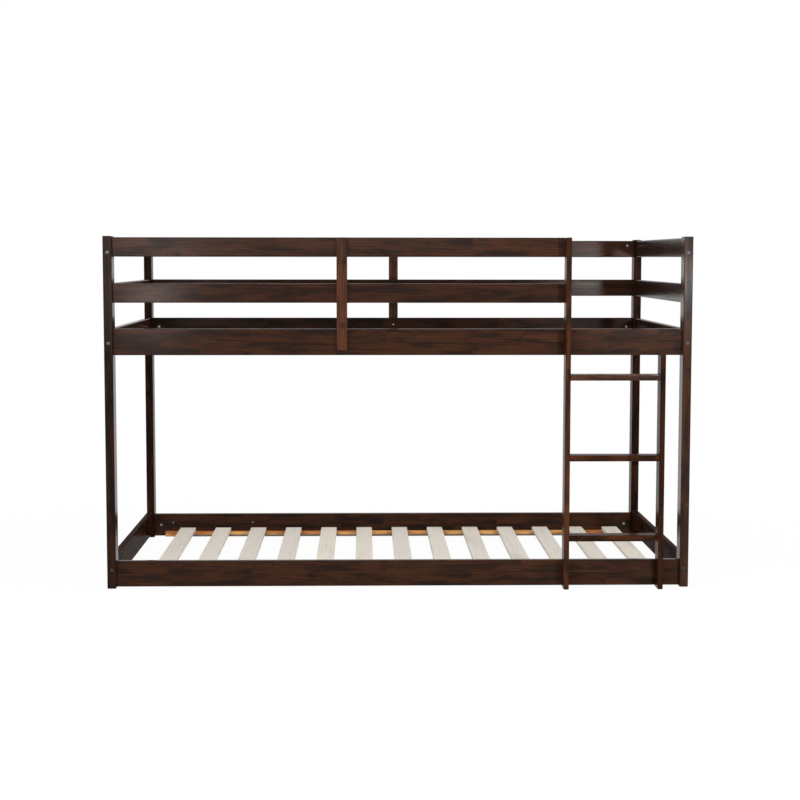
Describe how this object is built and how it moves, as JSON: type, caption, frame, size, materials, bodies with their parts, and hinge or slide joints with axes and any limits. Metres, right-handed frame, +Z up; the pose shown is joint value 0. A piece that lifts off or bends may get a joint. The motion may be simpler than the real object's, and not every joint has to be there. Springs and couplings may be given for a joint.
{
  "type": "bunk bed with ladder",
  "caption": "Low twin-over-twin wooden bunk bed with guard rails round the upper bed, slatted decks on cleats and a fixed vertical ladder at the right of the front.",
  "frame": {"origin": "on the floor, in the middle of the whole footprint, ladder included", "axes": "+X along the bed towards the ladder's end, +Y from the ladder's side to the rear, +Z up"},
  "size_m": [1.98, 1.132, 1.193],
  "materials": {
    "stained_pine": "dark espresso stain under satin lacquer",
    "bare_slat_pine": "planed, unfinished",
    "bare_cleat_pine": "planed, unfinished",
    "strap_webbing": "woven webbing",
    "zinc_steel": "zinc plated",
    "screw_steel": "zinc plated",
    "staple_wire": "galvanised",
    "beech": "fluted beech, unfinished"
  },
  "bodies": {
    "frame": {"barrel_nuts": "zinc_steel", "batten_screws": "screw_steel", "cleat_screws": "screw_steel", "end_rail_bolts": "zinc_steel", "front_guard_batten": "stained_pine", "front_left_post": "stained_pine", "front_lower_cleat": "bare_cleat_pine", "front_lower_rail": "stained_pine", "front_mid_guard_rail": "stained_pine", "front_right_post": "stained_pine", "front_top_guard_rail": "stained_pine", "front_upper_cleat": "bare_cleat_pine", "front_upper_rail": "stained_pine", "ladder_long_upright": "stained_pine", "ladder_rung_1": "stained_pine", "ladder_rung_2": "stained_pine", "ladder_rung_3": "stained_pine", "ladder_screws": "screw_steel", "ladder_short_upright": "stained_pine", "left_lower_end_rail": "stained_pine", "left_mid_guard_end_rail": "stained_pine", "left_top_guard_end_rail": "stained_pine", "left_upper_end_rail": "stained_pine", "rail_dowels": "beech", "rear_guard_batten": "stained_pine", "rear_left_post": "stained_pine", "rear_lower_cleat": "bare_cleat_pine", "rear_lower_rail": "stained_pine", "rear_mid_guard_rail": "stained_pine", "rear_right_post": "stained_pine", "rear_top_guard_rail": "stained_pine", "rear_upper_cleat": "bare_cleat_pine", "rear_upper_rail": "stained_pine", "right_lower_end_rail": "stained_pine", "right_mid_guard_end_rail": "stained_pine", "right_top_guard_end_rail": "stained_pine", "right_upper_end_rail": "stained_pine", "rung_bolts": "zinc_steel", "rung_dowels": "beech", "side_rail_bolts": "zinc_steel"},
    "lower_deck": {"lower_front_strap": "strap_webbing", "lower_rear_strap": "strap_webbing", "lower_slat_01": "bare_slat_pine", "lower_slat_02": "bare_slat_pine", "lower_slat_03": "bare_slat_pine", "lower_slat_04": "bare_slat_pine", "lower_slat_05": "bare_slat_pine", "lower_slat_06": "bare_slat_pine", "lower_slat_07": "bare_slat_pine", "lower_slat_08": "bare_slat_pine", "lower_slat_09": "bare_slat_pine", "lower_slat_10": "bare_slat_pine", "lower_slat_11": "bare_slat_pine", "lower_slat_12": "bare_slat_pine", "lower_slat_13": "bare_slat_pine", "lower_strap_staples": "staple_wire"},
    "upper_deck": {"upper_front_strap": "strap_webbing", "upper_rear_strap": "strap_webbing", "upper_slats": "bare_slat_pine", "upper_strap_staples": "staple_wire"}
  },
  "joints": [
    {"name": "lower_deck_lift", "type": "slide", "parent": "frame", "child": "lower_deck", "axis": [0, 0, 1], "range_m": [0, 0.1]},
    {"name": "upper_deck_lift", "type": "slide", "parent": "frame", "child": "upper_deck", "axis": [0, 0, 1], "range_m": [0, 0.1]}
  ]
}
